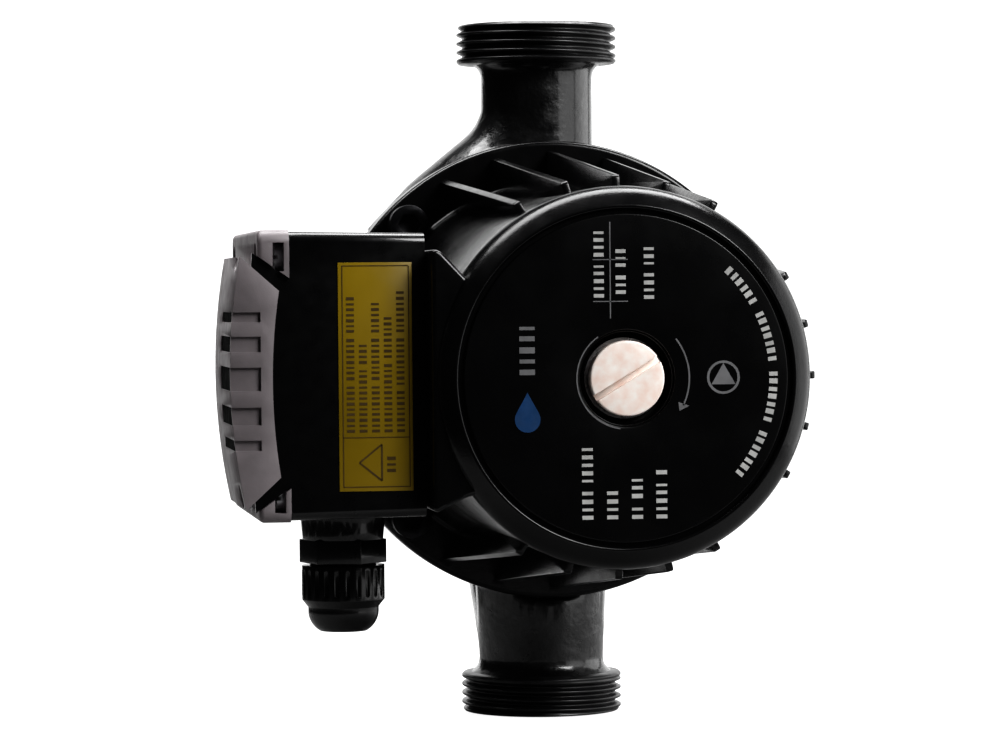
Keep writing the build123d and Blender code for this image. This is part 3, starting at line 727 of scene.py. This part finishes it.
def label_print():
    """Frame, lines of small blocks and an empty triangle on the yellow label."""
    low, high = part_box("warning_label")
    x0, x1 = low.x / MM + 0.9, high.x / MM - 0.9
    y0, y1 = low.z / MM - AXIS_HEIGHT + 0.9, high.z / MM - AXIS_HEIGHT - 0.9
    line = 0.22
    panel_top = y0 + PANEL_HEIGHT
    marks = [strip(x0, y, x1, y + line) for y in (y0, panel_top, y1)]
    marks += [strip(x, y0, x + line, y1) for x in (x0, x1)]
    for i, words in enumerate(LABEL_LINES):
        marks += text_blocks(x0 + 1.9 + 2.9 * i, panel_top + 1.3, words, 1.8)
    middle = (panel_top + y0) / 2
    for i, corner in enumerate(TRIANGLE):
        marks.append(stroke(corner, TRIANGLE[(i + 1) % 3], 0.4, middle))
    marks += text_blocks(-53.4, middle - 2.2, (3,), 2.0)
    printed("label_print", marks, BOX_FRONT, brown_ink, "yellow_label")


HOOD_SLOTS = ((14.8, 2.3), (8.6, 3.6), (0.6, 5.4), (-7.9, 4.1), (-14.6, 2.4))  # middle y and height
HOOD_OUTER = -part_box("terminal_lid")[0].x / MM
HOOD_MIDDLE_Y = 1.0
HOOD_CROWN = 0.0028  # the hood's side falls away from its middle by this times the distance squared


def slot_shadow():
    """Painted shade: near-black sheets behind the side window of each slot in the hood, standing in for the shade
    inside the slots.
    """
    pieces = []
    for y, height in HOOD_SLOTS:
        sagitta = HOOD_CROWN * (y - HOOD_MIDDLE_Y) ** 2
        half = height / 2 - 0.02
        outline = strip(-HOOD_OUTER + sagitta + 0.25, y - half, -87.85, y + half)
        pieces.append(prism("shadow", outline, 92.2, 119.3))
    dress(join("lid_slot_shadow", pieces), "lid", "dark_plastic", slot_painted_shade)


def top_front_edge(node, depth):
    """Wedge that takes the edge off between a node's top and front."""
    low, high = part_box(node)
    top, front = high.z / MM - AXIS_HEIGHT, -low.y / MM
    outline = [(top - depth - 1, front + 1), (top + 1, front - depth - 1), (top + 1, front + 1)]
    return prism("edge", outline, low.x / MM - 1, high.x / MM + 1, lambda y, z, x: row(x, y, z))


slot_shadow()
refined("terminal_box", 0.35, "pump", cut=top_front_edge("terminal_box", 1.5))
refined("terminal_lid", 0.35, "lid")
refined("gland_body", 0.3, "pump")
refined("gland_nut", 0.25, "gland_nut")
refined("motor_screws", 0.3, "pump")
refined("lid_screws", 0.22, "lid")
refined("warning_label", 0.06, "pump")
label_print()


# ---------------------------------------------------------------- carried-over CAD pieces
def dress_cad_nodes():
    for part in frame["record"]["subparts"]:
        node = frame["nodes"][part["node"]]
        node.data.materials.clear()
        node.data.materials.append(materials[part["material_slot"]])
        node.data.shade_smooth()


dress_cad_nodes()


# ---------------------------------------------------------------- stage, lights and camera
FLOOR_R = 0.24
FLOOR_GLOW = 0.66
ROOM = 0.025


def floor():
    """White paper to look at, which mirrors as grey so that the black paint stays black."""
    builder = bmesh.new()
    bmesh.ops.create_circle(builder, cap_ends=True, segments=96, radius=FLOOR_R)
    piece = make_object("studio_floor", builder)
    piece.location.z = -0.0004
    ground = Surface("studio_paper", specular=0.1)
    ground.colours(ground.noise(300.0), (0.26, 0.26, 0.26), (0.28, 0.28, 0.28))
    ground.roughness(ground.noise(80.0), 0.85, 0.95)
    path = ground.nodes.new("ShaderNodeLightPath")
    glow = ground.nodes.new("ShaderNodeMath")
    glow.operation = "MULTIPLY"
    glow.inputs[1].default_value = FLOOR_GLOW
    ground.links.new(path.outputs["Is Camera Ray"], glow.inputs[0])
    ground.links.new(glow.outputs["Value"], ground.shader.inputs["Emission Strength"])
    set_inputs(ground.shader, Emission_Color=(1, 1, 1, 1))
    piece.data.materials.append(ground.material)


def soft_box(name, place, size, radiance, aim=(0, -0.06, 0.09)):
    """Rectangular light whose face has the same radiance all over."""
    light = bpy.data.lights.new(name, "AREA")
    light.shape = "RECTANGLE"
    light.size, light.size_y = size
    light.energy = radiance * math.pi * size[0] * size[1]
    lamp = bpy.data.objects.new(name, light)
    lamp.location = place
    lamp.rotation_euler = (Vector(aim) - Vector(place)).to_track_quat("-Z", "Y").to_euler()
    lamp.visible_camera = False
    bpy.context.scene.collection.objects.link(lamp)


def studio_world():
    """White surroundings to look at, and a dark room to be lit and mirrored by."""
    world = bpy.data.worlds.new("studio")
    bpy.context.scene.world = world
    world.use_nodes = True
    nodes, links = world.node_tree.nodes, world.node_tree.links
    seen = nodes["Background"]
    lit = nodes.new("ShaderNodeBackground")
    set_inputs(seen, Color=(1, 1, 1, 1), Strength=1.0)
    set_inputs(lit, Color=(1, 1, 1, 1), Strength=ROOM)
    mix = nodes.new("ShaderNodeMixShader")
    path = nodes.new("ShaderNodeLightPath")
    links.new(path.outputs["Is Camera Ray"], mix.inputs["Fac"])
    links.new(lit.outputs[0], mix.inputs[1])
    links.new(seen.outputs[0], mix.inputs[2])
    links.new(mix.outputs[0], nodes["World Output"].inputs["Surface"])


CAMERA_DISTANCE = 1.0
CAMERA_AZIMUTH = -8.43
CAMERA_ELEVATION = 1.23
CAMERA_ROLL = -0.51
CAMERA_TARGET = (-0.0101, 0.0015, 0.0885)
FOCAL_LENGTH = 136.5


def camera():
    azimuth, elevation = math.radians(CAMERA_AZIMUTH), math.radians(CAMERA_ELEVATION)
    back = Vector(
        (
            math.sin(azimuth) * math.cos(elevation),
            -math.cos(azimuth) * math.cos(elevation),
            math.sin(elevation),
        )
    )
    data = bpy.data.cameras.new("camera")
    data.sensor_width = 36.0
    data.lens = FOCAL_LENGTH
    data.clip_start = 0.01
    made = bpy.data.objects.new("camera", data)
    turn = back.to_track_quat("Z", "Y").to_matrix() @ Matrix.Rotation(math.radians(CAMERA_ROLL), 3, "Z")
    made.matrix_world = Matrix.Translation(Vector(CAMERA_TARGET) + back * CAMERA_DISTANCE) @ turn.to_4x4()
    bpy.context.scene.collection.objects.link(made)
    bpy.context.scene.camera = made


floor()
studio_world()
soft_box("backdrop", (0.20, 0.95, 0.35), (1.3, 1.1), 1.0)
soft_box("right_side", (0.90, 0.20, 0.15), (0.8, 0.9), 1.6)
soft_box("right_front", (0.75, -0.50, 0.12), (0.6, 0.7), 1.4)
soft_box("ceiling", (-0.05, 0.10, 0.85), (1.2, 0.34), 9.0)
soft_box("front_fill", (0.65, -0.85, 0.85), (0.6, 0.6), 12.0)
camera()
view = bpy.context.scene.view_settings
view.view_transform = "Standard"
view.look = "High Contrast"
